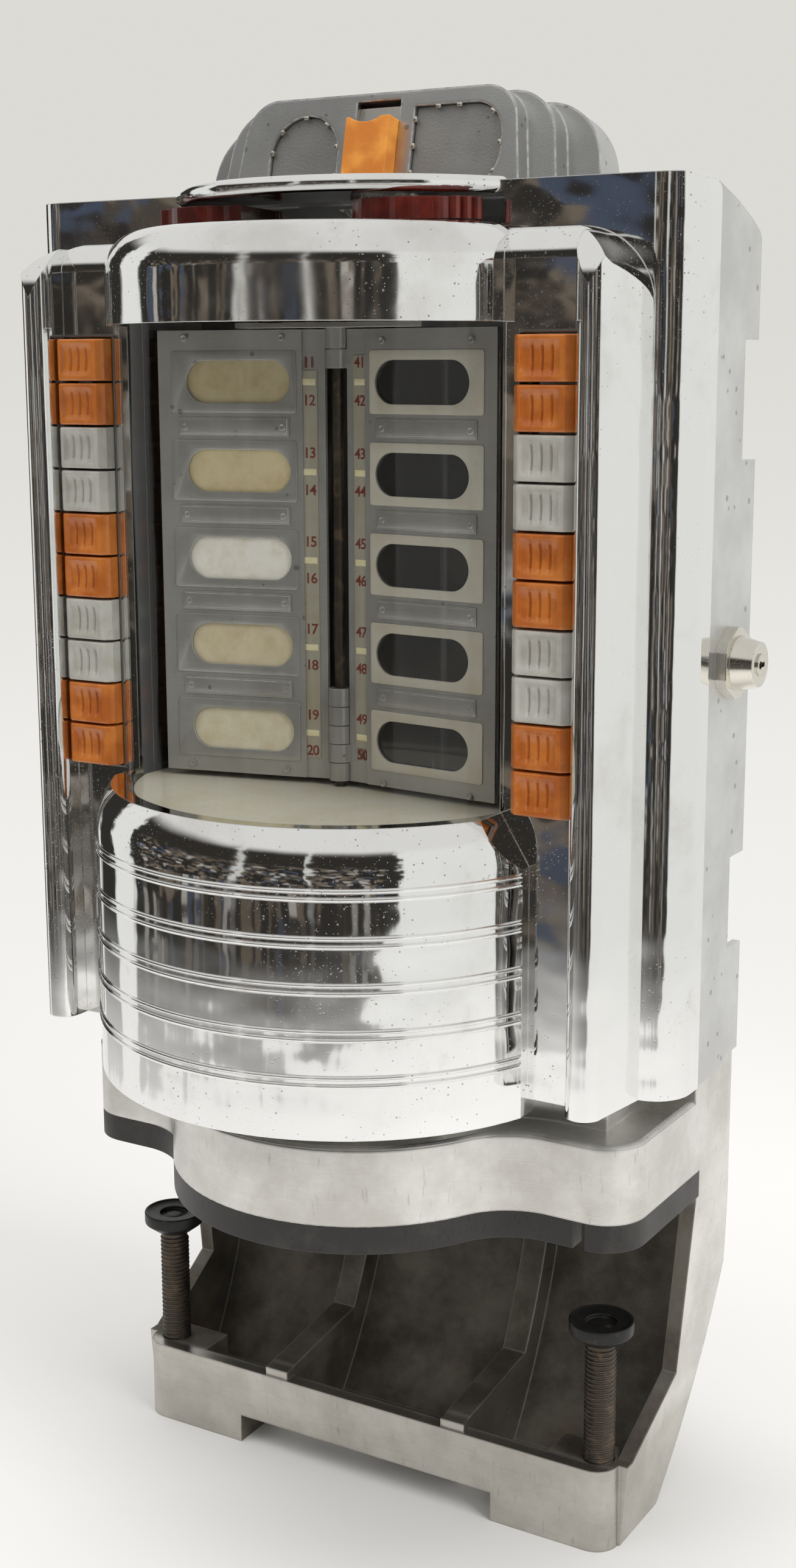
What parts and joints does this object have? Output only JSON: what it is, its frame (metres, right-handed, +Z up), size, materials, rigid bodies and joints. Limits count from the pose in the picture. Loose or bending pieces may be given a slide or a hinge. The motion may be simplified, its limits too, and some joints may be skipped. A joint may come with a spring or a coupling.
{
  "type": "jukebox wall box selector",
  "caption": "Remote song selector with chrome cover, curved window over turning title pages, two columns of push buttons, coin slot head, side key lock and a counter clamp bracket.",
  "frame": {"origin": "on the symmetry plane of the box, at the level of the feet, on the flat underside of the clamp bracket", "axes": "+X to the right across the front, +Y towards the back, +Z up; the front faces -Y"},
  "size_m": [0.3003, 0.2086, 0.565],
  "materials": {
    "chrome_cover": "polished chrome on a zinc casting, lightly pitted",
    "window_clear": "clear bent plastic sheet",
    "bezel_chrome": "polished",
    "button_orange": "translucent orange, glossy",
    "button_white": "translucent grey-white, glossy",
    "page_aluminium": "brushed sheet",
    "card_paper": "aged cream card",
    "card_dark": "white card edges with dark backing",
    "steel_plain": "zinc plated",
    "steel_dark": "oxidised dark steel",
    "lever_red": "dark red translucent",
    "housing_satin": "satin silver grey",
    "head_satin": "satin cast, bright edges",
    "plate_grey": "fine grained",
    "guide_amber": "translucent amber",
    "chute_nickel": "nickel plated",
    "lock_nickel": "nickel",
    "bracket_cast": "satin casting, ground outside and rough inside",
    "rubber_black": "black rubber",
    "pad_black": "black oxide, worn rims",
    "phenolic_brown": "brown laminate",
    "bin_grey": "plain tin plate",
    "wheel_brass": "machined",
    "coil_red": "varnished winding and frame",
    "lamp_white": "white coated tube",
    "ceramic_white": "moulded",
    "sill_cream": "cream enamel, yellowed",
    "black_plastic": "moulded"
  },
  "bodies": {
    "housing": {"front_cover": "chrome_cover", "window": "window_clear", "bezel_left": "bezel_chrome", "bezel_right": "bezel_chrome", "parked_pages": "page_aluminium", "page_frame": "steel_plain", "window_sill": "sill_cream", "spindle": "steel_dark", "rear_housing": "housing_satin", "coin_head": "head_satin", "coin_plates": "plate_grey", "coin_guide": "guide_amber", "coin_chute": "chute_nickel", "lock_nut": "lock_nickel", "lock_body": "lock_nickel", "clamp_bracket": "bracket_cast", "rubber_edge": "rubber_black", "bracket_bolts": "steel_dark", "chassis_plate": "steel_plain", "button_combs": "steel_plain", "switch_stacks": "phenolic_brown", "coin_bin": "bin_grey", "credit_coil": "coil_red", "lamp_tube": "lamp_white", "lamp_holders": "ceramic_white", "terminal_strip": "phenolic_brown", "cable_grommet": "rubber_black"},
    "button_l01": {"button_l01": "button_orange"},
    "button_l02": {"button_l02": "button_orange"},
    "button_l03": {"button_l03": "button_white"},
    "button_l04": {"button_l04": "button_white"},
    "button_l05": {"button_l05": "button_orange"},
    "button_l06": {"button_l06": "button_orange"},
    "button_l07": {"button_l07": "button_white"},
    "button_l08": {"button_l08": "button_white"},
    "button_l09": {"button_l09": "button_orange"},
    "button_l10": {"button_l10": "button_orange"},
    "button_r01": {"button_r01": "button_orange"},
    "button_r02": {"button_r02": "button_orange"},
    "button_r03": {"button_r03": "button_white"},
    "button_r04": {"button_r04": "button_white"},
    "button_r05": {"button_r05": "button_orange"},
    "button_r06": {"button_r06": "button_orange"},
    "button_r07": {"button_r07": "button_white"},
    "button_r08": {"button_r08": "button_white"},
    "button_r09": {"button_r09": "button_orange"},
    "button_r10": {"button_r10": "button_orange"},
    "left_page": {"page_left": "page_aluminium", "cards_left": "card_paper"},
    "right_page": {"page_right": "page_aluminium", "cards_right": "card_dark"},
    "left_lever": {"lever_left": "lever_red"},
    "right_lever": {"lever_right": "lever_red"},
    "lock_plug": {"lock_plug": "lock_nickel", "lock_cam": "steel_plain"},
    "credit_wheel": {"credit_wheel": "wheel_brass"},
    "clamp_pad_left": {"clamp_pad_left": "pad_black"},
    "clamp_screw_left": {"clamp_screw_left": "steel_dark"},
    "clamp_pad_right": {"clamp_pad_right": "pad_black"},
    "clamp_screw_right": {"clamp_screw_right": "steel_dark"}
  },
  "joints": [
    {"name": "button_l01_press", "type": "slide", "parent": "housing", "child": "button_l01", "axis": [0, 1, 0], "range_m": [0, 0.0035], "stiffness_N_per_m": 500, "springref_m": -0.002},
    {"name": "button_l02_press", "type": "slide", "parent": "housing", "child": "button_l02", "axis": [0, 1, 0], "range_m": [0, 0.0035], "stiffness_N_per_m": 500, "springref_m": -0.002},
    {"name": "button_l03_press", "type": "slide", "parent": "housing", "child": "button_l03", "axis": [0, 1, 0], "range_m": [0, 0.0035], "stiffness_N_per_m": 500, "springref_m": -0.002},
    {"name": "button_l04_press", "type": "slide", "parent": "housing", "child": "button_l04", "axis": [0, 1, 0], "range_m": [0, 0.0035], "stiffness_N_per_m": 500, "springref_m": -0.002},
    {"name": "button_l05_press", "type": "slide", "parent": "housing", "child": "button_l05", "axis": [0, 1, 0], "range_m": [0, 0.0035], "stiffness_N_per_m": 500, "springref_m": -0.002},
    {"name": "button_l06_press", "type": "slide", "parent": "housing", "child": "button_l06", "axis": [0, 1, 0], "range_m": [0, 0.0035], "stiffness_N_per_m": 500, "springref_m": -0.002},
    {"name": "button_l07_press", "type": "slide", "parent": "housing", "child": "button_l07", "axis": [0, 1, 0], "range_m": [0, 0.0035], "stiffness_N_per_m": 500, "springref_m": -0.002},
    {"name": "button_l08_press", "type": "slide", "parent": "housing", "child": "button_l08", "axis": [0, 1, 0], "range_m": [0, 0.0035], "stiffness_N_per_m": 500, "springref_m": -0.002},
    {"name": "button_l09_press", "type": "slide", "parent": "housing", "child": "button_l09", "axis": [0, 1, 0], "range_m": [0, 0.0035], "stiffness_N_per_m": 500, "springref_m": -0.002},
    {"name": "button_l10_press", "type": "slide", "parent": "housing", "child": "button_l10", "axis": [0, 1, 0], "range_m": [0, 0.0035], "stiffness_N_per_m": 500, "springref_m": -0.002},
    {"name": "button_r01_press", "type": "slide", "parent": "housing", "child": "button_r01", "axis": [0, 1, 0], "range_m": [0, 0.0035], "stiffness_N_per_m": 500, "springref_m": -0.002},
    {"name": "button_r02_press", "type": "slide", "parent": "housing", "child": "button_r02", "axis": [0, 1, 0], "range_m": [0, 0.0035], "stiffness_N_per_m": 500, "springref_m": -0.002},
    {"name": "button_r03_press", "type": "slide", "parent": "housing", "child": "button_r03", "axis": [0, 1, 0], "range_m": [0, 0.0035], "stiffness_N_per_m": 500, "springref_m": -0.002},
    {"name": "button_r04_press", "type": "slide", "parent": "housing", "child": "button_r04", "axis": [0, 1, 0], "range_m": [0, 0.0035], "stiffness_N_per_m": 500, "springref_m": -0.002},
    {"name": "button_r05_press", "type": "slide", "parent": "housing", "child": "button_r05", "axis": [0, 1, 0], "range_m": [0, 0.0035], "stiffness_N_per_m": 500, "springref_m": -0.002},
    {"name": "button_r06_press", "type": "slide", "parent": "housing", "child": "button_r06", "axis": [0, 1, 0], "range_m": [0, 0.0035], "stiffness_N_per_m": 500, "springref_m": -0.002},
    {"name": "button_r07_press", "type": "slide", "parent": "housing", "child": "button_r07", "axis": [0, 1, 0], "range_m": [0, 0.0035], "stiffness_N_per_m": 500, "springref_m": -0.002},
    {"name": "button_r08_press", "type": "slide", "parent": "housing", "child": "button_r08", "axis": [0, 1, 0], "range_m": [0, 0.0035], "stiffness_N_per_m": 500, "springref_m": -0.002},
    {"name": "button_r09_press", "type": "slide", "parent": "housing", "child": "button_r09", "axis": [0, 1, 0], "range_m": [0, 0.0035], "stiffness_N_per_m": 500, "springref_m": -0.002},
    {"name": "button_r10_press", "type": "slide", "parent": "housing", "child": "button_r10", "axis": [0, 1, 0], "range_m": [0, 0.0035], "stiffness_N_per_m": 500, "springref_m": -0.002},
    {"name": "left_page_turn", "type": "hinge", "parent": "housing", "child": "left_page", "pos_m": [0, -0.046, 0.395], "axis": [0, 0, 1], "range_deg": [0, 150]},
    {"name": "right_page_turn", "type": "hinge", "parent": "housing", "child": "right_page", "pos_m": [0, -0.046, 0.395], "axis": [0, 0, 1], "range_deg": [-150, 0]},
    {"name": "left_lever_swing", "type": "hinge", "parent": "housing", "child": "left_lever", "pos_m": [-0.034, -0.04, 0.5], "axis": [0, 0, 1], "range_deg": [-0.5, 30.5]},
    {"name": "right_lever_swing", "type": "hinge", "parent": "housing", "child": "right_lever", "pos_m": [0.034, -0.04, 0.5], "axis": [0, 0, 1], "range_deg": [-30.5, 0.5]},
    {"name": "lock_turn", "type": "hinge", "parent": "housing", "child": "lock_plug", "pos_m": [0.143, -0.006, 0.357], "axis": [1, 0, 0], "range_deg": [0, 90]},
    {"name": "credit_wheel_turn", "type": "hinge", "parent": "housing", "child": "credit_wheel", "pos_m": [-0.056, -0.02, 0.247], "axis": [0, 1, 0], "range_deg": [0, 340]},
    {"name": "left_pad_lift", "type": "slide", "parent": "housing", "child": "clamp_pad_left", "axis": [0, 0, 1], "range_m": [-0.0039, 0.0234]},
    {"name": "left_screw_turn", "type": "hinge", "parent": "clamp_pad_left", "child": "clamp_screw_left", "pos_m": [-0.105, -0.023, 0.05], "axis": [0, 0, 1], "range_deg": [-720, 4320]},
    {"name": "right_pad_lift", "type": "slide", "parent": "housing", "child": "clamp_pad_right", "axis": [0, 0, 1], "range_m": [-0.0039, 0.0234]},
    {"name": "right_screw_turn", "type": "hinge", "parent": "clamp_pad_right", "child": "clamp_screw_right", "pos_m": [0.105, -0.023, 0.05], "axis": [0, 0, 1], "range_deg": [-720, 4320]}
  ],
  "couplings": [
    {"joint": "left_lever_swing", "follows": "left_page_turn", "ratio": 0.2},
    {"joint": "right_lever_swing", "follows": "right_page_turn", "ratio": 0.2},
    {"joint": "left_screw_turn", "follows": "left_pad_lift", "rad_per_m": 3215.9},
    {"joint": "right_screw_turn", "follows": "right_pad_lift", "rad_per_m": 3215.9}
  ]
}
